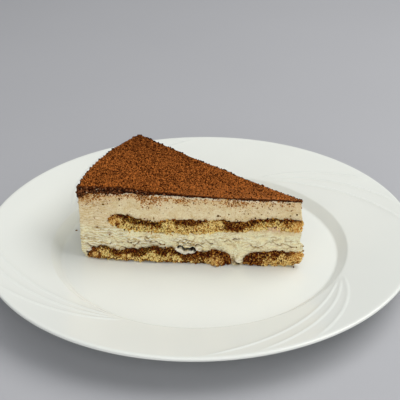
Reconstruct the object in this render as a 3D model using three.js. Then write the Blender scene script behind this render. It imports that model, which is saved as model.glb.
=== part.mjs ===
// A wedge of tiramisu torte standing in the well of a round porcelain plate.
// Millimetres, +Z up. The origin is the centre of the plate's foot ring, on the surface it stands on.
// +X is to the right and +Y away from a person who looks at the long front cut of the wedge.
import * as THREE from 'three';

// ---------------------------------------------------------------- driving dimensions

const plate = {
  diameter: 255,
  floorTop: 6.5, // glazed floor of the well above the table
  floorRadius: 82.3,
  lipRadius: 88.2, // where the well's slope turns into the rim
  lipRise: 5.4, // lip above the floor
  rimRise: 15.5, // outer edge above the floor
  wall: 4.1,
  edgeThickness: 2.8,
  footInner: 77,
  footWidth: 3.5,
  footHeight: 1.8,
  segments: 72,
};

const slice = {
  radius: 128.7, // half of a 26 cm torte, less the trimmed edge
  wedgeAngle: 35, // a tenth of the torte
  tipRadius: 1.5, // the point is never quite sharp
  tipX: 59,
  tipY: -23,
  frontCutHeading: 172.6, // direction of the front cut from the tip, degrees from +X
  step: 5, // spacing of the radial stations
  columns: 6, // facets across the wedge
};

const gap = 0.3; // clearance between pieces that lie on each other
const middleSpongeEnd = 113; // the discs are smaller than the ring, so cream closes round them
const baseTipEnd = 34.2; // the base is two pieces with a cream-filled joint between them
const baseOuterStart = 40.8;
const baseOuterEnd = 125.8;
const creamSeam = 24.5; // where the second pour of cream meets the first, beyond the middle sponge
const driftAcross = 7; // how far the waves of a layer wander between the two cuts

// Heights of each boundary above the plate's floor: [distance from the tip, height].
const boundary = {
  cocoaTop: [[0, 44.1], [35, 43.6], [60, 44.0], [85, 45.4], [100, 46.8], [120, 47.3], [128.7, 46.7]],
  creamTop: [[0, 43.1], [35, 42.6], [60, 42.9], [80, 43.6], [90, 43.2], [100, 44.3], [110, 43.0],
    [120, 43.8], [128.7, 41.5]],
  middleTop: [[0, 31.1], [22, 31.0], [38, 28.0], [48, 29.2], [56, 28.0], [75, 27.7], [84, 26.1],
    [92, 25.9], [100, 29.0], [107, 29.8], [111, 28.2], [113, 25.6]],
  middleBottom: [[0, 24.4], [12, 24.2], [20, 25.6], [27, 24.8], [34, 21.6], [48, 20.8], [60, 19.0],
    [70, 18.1], [90, 18.3], [102, 19.1], [108, 20.2], [111, 21.6], [113, 23.6]],
  baseOuterTop: [[40.8, 3.0], [42, 6.2], [50, 8.7], [55, 6.8], [61, 7.7], [67, 5.4], [72, 6.6],
    [76, 9.2], [81.5, 7.4], [85, 9.4], [92, 8.0], [101, 6.3], [108, 5.2], [113, 7.4], [119, 9.2],
    [124, 7.6], [125.8, 4.0]],
  baseTipTop: [[0, 10.8], [8, 9.8], [15, 10.2], [22, 9.2], [28, 8.7], [31, 7.2], [34.2, 2.4]],
};

// How far the soft base stands out past the front cut: [distance from the tip, amount].
const baseBulge = [[0, 0], [20, 0.2], [34, 0.8], [50, 1.7], [85, 1.9], [117, 1.6], [125.8, 0.2]];

// ---------------------------------------------------------------- helpers

const radians = THREE.MathUtils.degToRad;

// A smooth curve through [x, y] points: cubic between neighbours, level past the ends.
function curveThrough(points) {
  const last = points.length - 1;
  const slopeAt = (i) => {
    const before = points[Math.max(i - 1, 0)];
    const after = points[Math.min(i + 1, last)];
    return (after[1] - before[1]) / (after[0] - before[0]);
  };
  return (x) => {
    if (x <= points[0][0]) return points[0][1];
    if (x >= points[last][0]) return points[last][1];
    const i = points.findIndex((p) => p[0] > x) - 1;
    const [x0, y0] = points[i];
    const [x1, y1] = points[i + 1];
    const span = x1 - x0;
    const t = (x - x0) / span;
    const hermite = (t - 1) ** 2 * ((1 + 2 * t) * y0 + t * span * slopeAt(i));
    return hermite + t ** 2 * ((3 - 2 * t) * y1 + (t - 1) * span * slopeAt(i + 1));
  };
}

// A boundary over the whole wedge: its waves drift with the share of the way across, and its ends stay.
function surface(points) {
  const height = curveThrough(points);
  const start = points[0][0];
  const length = points[points.length - 1][0] - start;
  return (r, across) => {
    const along = THREE.MathUtils.clamp((r - start) / length, 0, 1);
    return height(r + driftAcross * across * Math.sin(Math.PI * along));
  };
}

const cocoaTop = surface(boundary.cocoaTop);
const creamTop = surface(boundary.creamTop);
const middleTop = surface(boundary.middleTop);
const middleBottom = surface(boundary.middleBottom);
const baseOuterTop = surface(boundary.baseOuterTop);
const baseTipTop = surface(boundary.baseTipTop);
const bulgeAt = curveThrough(baseBulge);

// The radial stations that every layer shares, so that facing layers have the same facets.
const stations = (() => {
  const steepEdges = [
    baseTipEnd, baseTipEnd + gap, baseTipEnd + 2 * gap,
    baseOuterStart - 2 * gap, baseOuterStart - gap, baseOuterStart, 42, 67, 108,
    111, middleSpongeEnd, middleSpongeEnd + gap, middleSpongeEnd + 2 * gap,
    119, 124, baseOuterEnd, baseOuterEnd + gap, baseOuterEnd + 2 * gap,
    slice.radius,
  ];
  const clear = slice.step / 3;
  const even = [];
  for (let r = slice.tipRadius; r < slice.radius; r += slice.step) {
    if (steepEdges.every((edge) => Math.abs(edge - r) > clear)) even.push(r);
  }
  return [...even, ...steepEdges].sort((a, b) => a - b);
})();

// A layer from one radius to another, between two surfaces given as (r, across) => height.
// The wedge lies on the -Y side of the group's X axis, which is the front cut.
function layerGeometry({ from, to, bottom, top, bulge = () => 0 }) {
  const radii = stations.filter((r) => r >= from && r <= to);
  const rows = radii.length;
  const perRow = slice.columns + 1;
  const position = [];
  for (const height of [bottom, top]) {
    for (const r of radii) {
      for (let column = 0; column < perRow; column++) {
        const across = column / slice.columns;
        const angle = radians(slice.wedgeAngle) * across;
        const outward = column === 0 ? bulge(r) : 0;
        position.push(r * Math.cos(angle), outward - r * Math.sin(angle), height(r, across));
      }
    }
  }
  const low = (row, column) => row * perRow + column;
  const high = (row, column) => rows * perRow + low(row, column);
  const index = [];
  const quad = (a, b, c, d) => index.push(a, b, c, a, c, d);
  for (let i = 0; i < rows - 1; i++) {
    for (let j = 0; j < slice.columns; j++) {
      quad(high(i, j), high(i, j + 1), high(i + 1, j + 1), high(i + 1, j));
      // the underside has the same diagonals, so that it nests on the layer below
      index.push(low(i, j), low(i + 1, j + 1), low(i, j + 1));
      index.push(low(i, j), low(i + 1, j), low(i + 1, j + 1));
    }
    quad(low(i, 0), high(i, 0), high(i + 1, 0), low(i + 1, 0));
    quad(low(i + 1, slice.columns), high(i + 1, slice.columns), high(i, slice.columns), low(i, slice.columns));
  }
  for (let j = 0; j < slice.columns; j++) {
    quad(low(0, j + 1), high(0, j + 1), high(0, j), low(0, j));
    quad(low(rows - 1, j), high(rows - 1, j), high(rows - 1, j + 1), low(rows - 1, j + 1));
  }
  const geometry = new THREE.BufferGeometry();
  geometry.setAttribute('position', new THREE.Float32BufferAttribute(position, 3));
  geometry.setIndex(index);
  geometry.computeVertexNormals();
  return geometry;
}

function finish(name, colour, roughness) {
  return new THREE.MeshStandardMaterial({ name, color: new THREE.Color(colour), roughness, metalness: 0 });
}

function piece(name, geometry, material) {
  const mesh = new THREE.Mesh(geometry, material);
  mesh.name = name;
  return mesh;
}

// ---------------------------------------------------------------- materials

const porcelain = finish('porcelain', 0xe6e7df, 0.15);
const cream = finish('mascarpone cream', 0xcebd9c, 0.55);
const sponge = finish('coffee-soaked sponge', 0xa17a41, 0.9);
const cocoa = finish('cocoa powder', 0x7b441d, 0.95);

// ---------------------------------------------------------------- plate

// One lathe turn: recessed underside, foot ring, sloped rim with a rounded edge, lip, well floor.
function plateGeometry() {
  const radius = plate.diameter / 2;
  const footOuter = plate.footInner + plate.footWidth;
  const lipTop = plate.floorTop + plate.lipRise;
  const edgeTop = plate.floorTop + plate.rimRise;
  const edgeMiddle = edgeTop - plate.edgeThickness / 2;
  const edgeBottom = edgeTop - plate.edgeThickness;
  const ease = 2.5; // length of the rounding on each side of a corner

  const outline = new THREE.Path();
  outline.moveTo(0, plate.footHeight);
  outline.lineTo(plate.footInner - ease, plate.footHeight);
  outline.quadraticCurveTo(plate.footInner - 0.3, plate.footHeight, plate.footInner, 0);
  outline.lineTo(footOuter, 0);
  outline.quadraticCurveTo(footOuter + 1, lipTop - plate.wall - 3.2, footOuter + 6.5, lipTop - plate.wall - 0.9);
  outline.lineTo(radius - 3, edgeBottom - 0.3);
  outline.quadraticCurveTo(radius, edgeBottom + 0.2, radius, edgeMiddle);
  outline.quadraticCurveTo(radius, edgeTop + 0.1, radius - 2.4, edgeTop - 0.5);
  outline.lineTo(plate.lipRadius + ease, lipTop + ease * 0.25);
  outline.quadraticCurveTo(plate.lipRadius, lipTop, plate.lipRadius - ease * 0.7, lipTop - ease * 0.65);
  outline.lineTo(plate.floorRadius + ease * 0.5, plate.floorTop + ease * 0.45);
  outline.quadraticCurveTo(plate.floorRadius, plate.floorTop, plate.floorRadius - ease, plate.floorTop);
  outline.lineTo(0, plate.floorTop);

  const geometry = new THREE.LatheGeometry(outline.getPoints(3), plate.segments);
  geometry.rotateX(Math.PI / 2); // the lathe turns about Y, and the plate stands on Z
  return geometry;
}

// ---------------------------------------------------------------- layers of the wedge, bottom to top

function baseOuterGeometry() {
  return layerGeometry({
    from: baseOuterStart,
    to: baseOuterEnd,
    bottom: () => 0,
    top: baseOuterTop,
    bulge: bulgeAt,
  });
}

function baseTipGeometry() {
  return layerGeometry({
    from: slice.tipRadius,
    to: baseTipEnd,
    bottom: () => 0,
    top: baseTipTop,
    bulge: bulgeAt,
  });
}

// The first cream lies over both base pieces, and reaches the plate in their joint and outside the disc.
function lowerCreamGeometry() {
  const bottom = (r, across) => {
    if (r <= baseTipEnd + gap) return baseTipTop(Math.min(r, baseTipEnd), across) + gap;
    if (r < baseOuterStart - gap) return 0;
    if (r <= baseOuterEnd + gap) {
      return baseOuterTop(THREE.MathUtils.clamp(r, baseOuterStart, baseOuterEnd), across) + gap;
    }
    return 0;
  };
  const top = (r, across) => {
    if (r > middleSpongeEnd + gap) return creamSeam - gap / 2;
    return middleBottom(Math.min(r, middleSpongeEnd), across) - gap;
  };
  return layerGeometry({ from: slice.tipRadius, to: slice.radius, bottom, top });
}

function middleSpongeGeometry() {
  return layerGeometry({
    from: slice.tipRadius,
    to: middleSpongeEnd,
    bottom: middleBottom,
    top: middleTop,
  });
}

// The second cream lies over the middle sponge and closes round its edge.
function upperCreamGeometry() {
  const bottom = (r, across) => {
    if (r > middleSpongeEnd + gap) return creamSeam + gap / 2;
    return middleTop(Math.min(r, middleSpongeEnd), across) + gap;
  };
  const top = (r, across) => creamTop(r, across) - gap;
  return layerGeometry({ from: slice.tipRadius, to: slice.radius, bottom, top });
}

function cocoaGeometry() {
  return layerGeometry({
    from: slice.tipRadius,
    to: slice.radius,
    bottom: creamTop,
    top: cocoaTop,
  });
}

// ---------------------------------------------------------------- assembly

const wedge = new THREE.Group();
wedge.position.set(slice.tipX, slice.tipY, plate.floorTop + gap);
wedge.rotation.z = radians(slice.frontCutHeading);
wedge.add(
  piece('sponge_base_outer', baseOuterGeometry(), sponge),
  piece('sponge_base_tip', baseTipGeometry(), sponge),
  piece('cream_lower', lowerCreamGeometry(), cream),
  piece('sponge_middle', middleSpongeGeometry(), sponge),
  piece('cream_upper', upperCreamGeometry(), cream),
  piece('cocoa_top', cocoaGeometry(), cocoa),
);

const platedSlice = new THREE.Group();
platedSlice.add(piece('plate', plateGeometry(), porcelain), wedge);

export default platedSlice;
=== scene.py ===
import math

import bpy
import numpy as np
from mathutils import Matrix, Vector
from mathutils.bvhtree import BVHTree


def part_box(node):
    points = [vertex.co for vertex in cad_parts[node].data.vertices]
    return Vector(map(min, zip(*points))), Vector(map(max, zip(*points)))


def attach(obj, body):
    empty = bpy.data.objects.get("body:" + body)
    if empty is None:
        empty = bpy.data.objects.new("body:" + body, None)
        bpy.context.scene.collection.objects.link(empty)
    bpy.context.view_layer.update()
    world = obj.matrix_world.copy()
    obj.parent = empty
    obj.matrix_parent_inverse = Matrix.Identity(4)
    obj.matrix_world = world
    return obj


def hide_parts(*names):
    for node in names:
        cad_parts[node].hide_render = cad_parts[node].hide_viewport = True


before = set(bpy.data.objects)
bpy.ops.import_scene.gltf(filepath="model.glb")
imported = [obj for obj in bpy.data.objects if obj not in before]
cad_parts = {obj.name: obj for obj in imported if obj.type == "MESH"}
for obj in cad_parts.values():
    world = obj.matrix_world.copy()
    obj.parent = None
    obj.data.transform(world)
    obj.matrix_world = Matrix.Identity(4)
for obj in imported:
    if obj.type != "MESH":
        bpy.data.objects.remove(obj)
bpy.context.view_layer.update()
mm = 0.001
detail = 1.0  # coarser meshes while trying things
print("frame loaded:", ", ".join(sorted(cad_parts)))

wedge = {
    "tip": (59.0, -23.0),  # the point of the wedge in plan
    "heading": 172.6,  # of the front cut, from the point outwards
    "angle": 35.0,
    "radius": 128.7,
    "floor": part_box("sponge_base_outer")[0].z / mm,
}
plateFloor = 6.5


# places on the wedge: along the front cut, depth behind it, height over the base

def toWedge(places):
    heading = math.radians(wedge["heading"])
    x = places[:, 0] - wedge["tip"][0]
    y = places[:, 1] - wedge["tip"][1]
    along = x * math.cos(heading) + y * math.sin(heading)
    depth = x * math.sin(heading) - y * math.cos(heading)
    return np.stack([along, depth, places[:, 2] - wedge["floor"]], axis=1)


def fromWedge(spots):
    heading = math.radians(wedge["heading"])
    x = spots[:, 0] * math.cos(heading) + spots[:, 1] * math.sin(heading)
    y = spots[:, 0] * math.sin(heading) - spots[:, 1] * math.cos(heading)
    height = spots[:, 2] + wedge["floor"]
    return np.stack([x + wedge["tip"][0], y + wedge["tip"][1], height], axis=1)


def behindBackCut(spots):  # how far a spot lies inside the back cut
    angle = math.radians(wedge["angle"])
    return spots[:, 0] * math.sin(angle) - spots[:, 1] * math.cos(angle)


def radiusOf(spots):
    return np.hypot(spots[:, 0], spots[:, 1])


def ease(low, high, value):
    share = np.clip((value - low) / (high - low), 0.0, 1.0)
    return share * share * (3.0 - 2.0 * share)


def through(points, value):  # straight lines through (place, height) pairs, level past the ends
    points = sorted(points)
    return np.interp(value, [p[0] for p in points], [p[1] for p in points])


# noise on arrays of spots

def scrambled(cells, seed):  # one even random number for each whole-number cell
    mixed = cells[..., 0] * 374761393 + cells[..., 1] * 668265263 + cells[..., 2] * 1274126177
    mixed = (mixed + seed * 974634511) & 0xFFFFFFFF
    mixed = ((mixed ^ (mixed >> 13)) * 1274126177) & 0xFFFFFFFF
    mixed = ((mixed ^ (mixed >> 15)) * 668265263) & 0xFFFFFFFF
    return (mixed ^ (mixed >> 16)) / 0xFFFFFFFF


def softNoise(spots, size, seed):  # smooth, from -1 to 1; size is one length or one for each axis
    scaled = spots / np.asarray(size, float) + seed * 17.31
    cell = np.floor(scaled).astype(np.int64)
    inside = scaled - cell
    blend = inside * inside * (3.0 - 2.0 * inside)
    total = np.zeros(len(spots))
    for corner in np.ndindex(2, 2, 2):
        weight = np.prod(np.where(corner, blend, 1.0 - blend), axis=1)
        total += weight * scrambled(cell + np.array(corner), seed)
    return total * 2.0 - 1.0


def layeredNoise(spots, size, seed, layers=3):
    size = np.asarray(size, float)
    total = np.zeros(len(spots))
    for layer in range(layers):
        total += softNoise(spots, size / 2**layer, seed + layer) / 2**layer
    return total / (2.0 - 0.5 ** (layers - 1))


def cellNoise(spots, size, seed):  # distance to the nearest scattered point, and that point's own number
    scaled = spots / np.asarray(size, float)
    cell = np.floor(scaled).astype(np.int64)
    nearest = np.full(len(spots), 9.0)
    number = np.zeros(len(spots))
    for step in np.ndindex(3, 3, 3):
        there = cell + np.array(step) - 1
        point = there + np.stack([scrambled(there, seed + axis) for axis in range(3)], axis=1)
        distance = np.linalg.norm(scaled - point, axis=1)
        closer = distance < nearest
        nearest[closer] = distance[closer]
        number[closer] = scrambled(there[closer], seed + 3)
    return nearest, number


def distanceToLine(along, height, line):  # from each spot on a cut to a line of (along, height) points
    shortest = np.full(len(along), 1e3)
    for (x0, y0), (x1, y1) in zip(line, line[1:]):
        length2 = (x1 - x0) ** 2 + (y1 - y0) ** 2
        share = np.clip(((along - x0) * (x1 - x0) + (height - y0) * (y1 - y0)) / length2, 0.0, 1.0)
        gap = np.hypot(along - x0 - share * (x1 - x0), height - y0 - share * (y1 - y0))
        shortest = np.minimum(shortest, gap)
    return shortest


# meshes in and out of numpy

def readPlaces(piece):
    places = np.empty(len(piece.data.vertices) * 3, np.float32)
    piece.data.vertices.foreach_get("co", places)
    return places.reshape(-1, 3).astype(float) / mm


def readNormals(piece):
    normals = np.empty(len(piece.data.vertices) * 3, np.float32)
    piece.data.vertex_normals.foreach_get("vector", normals)
    return normals.reshape(-1, 3).astype(float)


def readCentres(piece):
    centres = np.empty(len(piece.data.polygons) * 3, np.float32)
    piece.data.polygons.foreach_get("center", centres)
    return centres.reshape(-1, 3).astype(float) / mm


def writePlaces(piece, places):
    piece.data.vertices.foreach_set("co", (places * mm).astype(np.float32).ravel())
    piece.data.update()


def writeMarks(piece, **marks):  # numbers on each vertex, for a material to read
    for name, values in marks.items():
        mark = piece.data.attributes.new(name, "FLOAT", "POINT")
        mark.data.foreach_set("value", values.astype(np.float32))


def readMark(piece, name):
    values = np.empty(len(piece.data.vertices), np.float32)
    piece.data.attributes[name].data.foreach_get("value", values)
    return values


def only(piece):  # nothing else selected, and this one active
    bpy.ops.object.select_all(action="DESELECT")
    piece.select_set(True)
    bpy.context.view_layer.objects.active = piece


def inEditMode(piece, work, selectAll=True):
    only(piece)
    bpy.ops.object.mode_set(mode="EDIT")
    bpy.ops.mesh.select_all(action="SELECT" if selectAll else "DESELECT")
    work()
    bpy.ops.object.mode_set(mode="OBJECT")


def addModifier(piece, kind, **settings):
    only(piece)
    modifier = piece.modifiers.new(kind.title(), kind)
    for name, value in settings.items():
        setattr(modifier, name, value)
    bpy.ops.object.modifier_apply(modifier=modifier.name)


def refine(piece, chosen):  # splits the chosen faces
    inEditMode(piece, lambda: bpy.ops.mesh.select_mode(type="FACE"), selectAll=False)
    piece.data.polygons.foreach_set("select", chosen)
    bpy.ops.object.mode_set(mode="EDIT")
    bpy.ops.mesh.subdivide(number_cuts=1, ngon=False)
    bpy.ops.object.mode_set(mode="OBJECT")


def smooth(piece):
    only(piece)
    bpy.ops.object.shade_smooth()


# materials

class Number:  # a socket that does arithmetic by adding Math nodes
    def __init__(self, tree, socket):
        self.tree = tree
        self.socket = socket

    def math(self, operation, first, second):
        node = self.tree.nodes.new("ShaderNodeMath")
        node.operation = operation
        for slot, value in zip(node.inputs, (first, second)):
            if isinstance(value, Number):
                self.tree.links.new(value.socket, slot)
            else:
                slot.default_value = value
        return Number(self.tree, node.outputs[0])

    def __add__(self, other):
        return self.math("ADD", self, other)

    def __radd__(self, other):
        return self.math("ADD", other, self)

    def __sub__(self, other):
        return self.math("SUBTRACT", self, other)

    def __rsub__(self, other):
        return self.math("SUBTRACT", other, self)

    def __mul__(self, other):
        return self.math("MULTIPLY", self, other)

    def __rmul__(self, other):
        return self.math("MULTIPLY", other, self)


class Finish:  # a material and its one shader
    def __init__(self, name, **shader):
        self.material = bpy.data.materials.new(name)
        self.material.use_nodes = True
        self.tree = self.material.node_tree
        self.shader = self.tree.nodes["Principled BSDF"]
        for socket, value in shader.items():
            self.shader.inputs[socket.replace("_", " ")].default_value = value

    def node(self, kind, settings=None, sockets=None, output=0):
        made = self.tree.nodes.new("ShaderNode" + kind)
        for name, value in (settings or {}).items():
            if name == "stops":
                setStops(made.color_ramp, value)
            else:
                setattr(made, name, value)
        for name, value in (sockets or {}).items():
            if isinstance(value, Number):
                self.tree.links.new(value.socket, made.inputs[name])
            else:
                made.inputs[name].default_value = value
        return Number(self.tree, made.outputs[output])

    def ramp(self, stops, value):  # a value looked up in shades
        return self.node("ValToRGB", {"stops": stops}, {"Fac": value})

    def spot(self):
        return self.node("TexCoord", output=3)

    def mark(self, name):
        return self.node("Attribute", {"attribute_name": name}, output=2)

    def noise(self, size, detail=2.0, roughness=0.5, stretch=(1.0, 1.0, 1.0)):
        place = self.spot()
        if stretch != (1.0, 1.0, 1.0):
            place = self.node("Mapping", sockets={"Vector": place, "Scale": stretch})
        values = {"Vector": place, "Scale": 1.0 / (size * mm), "Detail": detail, "Roughness": roughness}
        return self.node("TexNoise", sockets=values)

    def band(self, value, low, high, start=0.0, end=1.0):  # a value's span, eased to another
        sockets = {"Value": value, "From Min": low, "From Max": high, "To Min": start, "To Max": end}
        return self.node("MapRange", {"interpolation_type": "SMOOTHSTEP"}, sockets)

    def mix(self, share, first, second):
        made = self.tree.nodes.new("ShaderNodeMix")
        made.data_type = "RGBA"
        for slot, value in ((0, share), (6, first), (7, second)):
            if isinstance(value, Number):
                self.tree.links.new(value.socket, made.inputs[slot])
            else:
                made.inputs[slot].default_value = value if slot == 0 else (*value, 1.0)
        return Number(self.tree, made.outputs[2])

    def over(self, colour, layers):  # colours laid over one another, each by its own share
        for share, shade in layers:
            colour = self.mix(share, colour, linear(*shade))
        return colour

    def bump(self, height, strength, depth):
        sockets = {"Height": height, "Strength": strength, "Distance": depth * mm}
        self.feed("Normal", self.node("Bump", sockets=sockets))

    def feed(self, socket, value):
        self.tree.links.new(value.socket, self.shader.inputs[socket])


def setStops(ramp, stops):
    while len(ramp.elements) < len(stops):
        ramp.elements.new(0.5)
    for element, (place, colour) in zip(ramp.elements, stops):
        element.position = place
        element.color = (*colour, 1.0)


def linear(red, green, blue):  # a colour as a screen shows it, 0 to 255, for a shader
    screen = [channel / 255.0 for channel in (red, green, blue)]
    return tuple(c / 12.92 if c < 0.04045 else ((c + 0.055) / 1.055) ** 2.4 for c in screen)


def porcelainFinish():
    glaze = Finish("porcelain", Roughness=0.2, Specular_IOR_Level=0.45)
    clouding = glaze.noise(38.0, detail=1.0)
    glaze.feed("Base Color", glaze.mix(clouding, linear(241, 244, 238), linear(237, 240, 234)))
    return glaze.material


def shades(places, colours):
    return [(place, linear(*colour)) for place, colour in zip(places, colours)]


# of cocoa in cream, from a trace to thick
smearShades = shades((0.15, 0.45, 0.75, 1.0), [(226, 182, 112), (196, 134, 62), (136, 76, 22), (66, 26, 2)])


def creamFinish():
    cream = Finish("mascarponeCream", Roughness=0.62, Specular_IOR_Level=0.14, Subsurface_Weight=0.12)
    cream.shader.inputs["Subsurface Scale"].default_value = 0.002
    cream.shader.inputs["Subsurface Radius"].default_value = (1.0, 0.75, 0.45)
    mottled = cream.band(cream.noise(5.0, detail=4.0, roughness=0.6), 0.38, 0.62)
    speckle = cream.noise(0.8, detail=4.0, roughness=0.85)
    fleck = cream.band(speckle, 0.46, 0.66)
    warmth = cream.band(cream.noise(3.2, detail=3.0, roughness=0.6), 0.46, 0.64)
    strata = cream.band(cream.noise(1.3, detail=3.0, stretch=(0.12, 0.12, 1.0)), 0.44, 0.62)
    strata = strata * cream.mark("strata")
    ripple = cream.node("TexWave", {"bands_direction": "Z"}, {
        "Vector": cream.spot(), "Scale": 0.314 / (1.7 * mm), "Distortion": 11.0,
        "Detail": 3.0, "Detail Scale": 0.8, "Detail Roughness": 0.6,
    }, output=1)
    torn = cream.mark("torn")
    upper = cream.mix(mottled, linear(248, 232, 193), linear(238, 217, 170))
    lower = cream.mix(mottled, linear(255, 251, 214), linear(255, 243, 197))
    colour = cream.mix(cream.mark("lower"), upper, lower)
    colour = cream.over(colour, [
        # painted shade in the ripple's troughs and painted highlight on its crests, where the torn cream is
        # bumped
        (cream.band(ripple, 0.3, 0.04) * torn * 0.46, (176, 142, 62)),
        (cream.band(ripple, 0.68, 0.95) * torn * 0.6, (255, 254, 236)),
        (cream.band(speckle, 0.48, 0.3) * 0.6, (255, 252, 230)),
        (fleck * warmth * 0.35 + fleck * 0.35, (200, 158, 86)),
        (cream.mark("haze"), (228, 176, 112)),
        (strata * 0.4, (204, 156, 84)),
        # paler cream on the folds and under the cocoa, and painted highlight on the crack lips and the
        # joint's lump tops
        (cream.mark("pale"), (255, 248, 226)),
    ])
    # painted shade: the cracks, wrinkles, the crease under each ledge and the hollows between the joint's
    # lumps are darkened here
    split = cream.mix(cream.band(cream.mark("crack"), 0.5, 0.9), linear(158, 114, 10), linear(58, 34, 0))
    colour = cream.mix(cream.mark("crack"), colour, split)
    colour = cream.over(colour, [(cream.mark("bleed") * 0.8, (142, 82, 24))])
    smear = cream.mark("smear") * (cream.band(speckle, 0.42, 0.6) * 1.6 + 0.12)
    colour = cream.mix(cream.band(smear, 0.04, 0.4), colour, cream.ramp(smearShades, smear))
    # painted shade filling the deep hole in the lower cream
    colour = cream.over(colour, [(cream.mark("dark"), (36, 14, 0))])
    cream.feed("Base Color", colour)
    cream.bump(fleck * 0.6 + ripple * torn * 0.8, 0.6, 0.35)
    return cream.material


# from dry crumb to coffee-soaked, and the same where the yolk shows more; the painted shade of pores and pits
# also darkens along them
shadePlaces = (0.0, 0.2, 0.4, 0.58, 0.78, 1.0)
spongeShades = shades(
    shadePlaces, [(252, 226, 152), (231, 188, 100), (196, 138, 50), (154, 86, 16), (106, 38, 0), (54, 9, 0)]
)
oliveShades = shades(
    shadePlaces, [(248, 232, 158), (226, 198, 110), (188, 150, 60), (142, 98, 24), (96, 52, 4), (54, 20, 0)]
)


def spongeFinish():
    sponge = Finish("soakedSponge", Roughness=0.75, Specular_IOR_Level=0.12)
    crumb = sponge.noise(0.9, detail=4.0, roughness=0.85)
    blotch = sponge.noise(2.8, detail=3.0, roughness=0.6)
    cells = sponge.node("TexVoronoi", sockets={"Vector": sponge.spot(), "Scale": 1.0 / (1.7 * mm)})
    # painted shade: small dark spots standing in for the shade in pits
    pitShade = sponge.band(cells, 0.34, 0.14)
    # soak and random tone, darkened further by painted shade in pores, caves, pits and between crumbs
    wetAndPoreShade = sponge.mark("soak") * 0.72 + sponge.band(crumb, 0.37, 0.63, -0.6, 0.6) + (blotch - 0.5) * 1.1 + 0.15
    wetAndPoreShade = wetAndPoreShade + sponge.mark("pore") * 0.45 + pitShade * sponge.band(blotch, 0.4, 0.6) * 0.5
    colour = sponge.mix(sponge.mark("olive"), sponge.ramp(spongeShades, wetAndPoreShade), sponge.ramp(oliveShades, wetAndPoreShade))
    toast = sponge.mix(sponge.band(crumb, 0.36, 0.62), linear(255, 216, 128), linear(206, 122, 42))
    colour = sponge.mix(sponge.mark("crust") * 0.8, colour, toast)
    colour = sponge.over(colour, [(sponge.mark("burnt") * 0.85, (92, 32, 6))])
    sponge.feed("Base Color", colour)
    sponge.bump(crumb, 0.7, 0.6)
    return sponge.material


def cocoaFinish():
    cocoa = Finish("cocoa", Roughness=0.95, Specular_IOR_Level=0.05)
    speck = cocoa.band(cocoa.noise(0.8, detail=3.0, roughness=0.75), 0.4, 0.6)
    patch = cocoa.band(cocoa.noise(2.8, detail=2.0), 0.35, 0.65)
    drift = cocoa.band(cocoa.noise(16.0, detail=2.0), 0.3, 0.7)
    powder = cocoa.mix(speck, linear(50, 14, 0), linear(193, 112, 50))
    powder = cocoa.over(powder, [
        (patch * 0.12, (118, 54, 12)),
        (drift * 0.14, (100, 48, 12)),
        (cocoa.mark("dusty") * 0.36, (218, 138, 76)),
        (cocoa.mark("shaded") * 0.45, (84, 38, 6)),
    ])
    damp = cocoa.mix(speck, linear(16, 2, 0), linear(88, 40, 14))
    cocoa.feed("Base Color", cocoa.mix(cocoa.mark("damp"), powder, damp))
    cocoa.bump(speck, 0.8, 0.5)
    return cocoa.material


def grainFinish(name, dark, light, roughness, specular):
    grain = Finish(name, Roughness=roughness, Specular_IOR_Level=specular)
    grain.feed("Base Color", grain.mix(grain.mark("tone"), dark, light))
    grain.bump(grain.noise(0.5, detail=2.0), 0.5, 0.2)
    return grain.material


def crumbFinish():
    crumb = Finish("spongeCrumb", Roughness=0.8, Specular_IOR_Level=0.12)
    tone = crumb.mark("tone") + (crumb.noise(0.8, detail=2.0) - 0.5) * 0.6
    crumb.feed("Base Color", crumb.ramp(spongeShades, tone))
    crumb.bump(crumb.noise(0.5, detail=2.0), 0.6, 0.3)
    return crumb.material


# layers of the wedge

def layerFrom(node, name, voxel):  # a fine, even mesh of a layer's solid
    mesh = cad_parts[node].data.copy()
    mesh.materials.clear()
    piece = bpy.data.objects.new(name, mesh)
    bpy.context.scene.collection.objects.link(piece)

    def weld():
        bpy.ops.mesh.remove_doubles(threshold=0.01 * mm)
        bpy.ops.mesh.normals_make_consistent(inside=False)

    inEditMode(piece, weld)
    addModifier(piece, "REMESH", mode="VOXEL", voxel_size=voxel * detail * mm)
    return piece


def heightsOf(node, spots):  # top and underside of a layer's solid over each spot
    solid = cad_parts[node].data
    corners = [v.co.copy() for v in solid.vertices]
    tree = BVHTree.FromPolygons(corners, [tuple(p.vertices) for p in solid.polygons])
    low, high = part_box(node)
    middle = spots.copy()
    radius = radiusOf(spots)
    reach = toWedge(np.array([c / mm for c in corners]))
    near, far = radiusOf(reach).min() + 0.5, radiusOf(reach).max() - 0.5
    clamped = np.clip(radius, near, far)
    margin = np.minimum(np.degrees(0.8 / clamped), wedge["angle"] / 2)
    turn = np.degrees(np.arctan2(spots[:, 1], spots[:, 0]))
    turn = np.radians(np.clip(turn, margin, wedge["angle"] - margin))
    middle[:, 0] = clamped * np.cos(turn)
    middle[:, 1] = clamped * np.sin(turn)
    places = fromWedge(middle) * mm
    top = np.empty(len(spots))
    bottom = np.empty(len(spots))
    for i, (x, y, _) in enumerate(places):
        above = tree.ray_cast(Vector((x, y, high.z + 0.01)), Vector((0, 0, -1)))[0]
        below = tree.ray_cast(Vector((x, y, low.z - 0.01)), Vector((0, 0, 1)))[0]
        top[i] = above.z if above else high.z
        bottom[i] = below.z if below else low.z
    return top / mm - wedge["floor"], bottom / mm - wedge["floor"]


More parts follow.
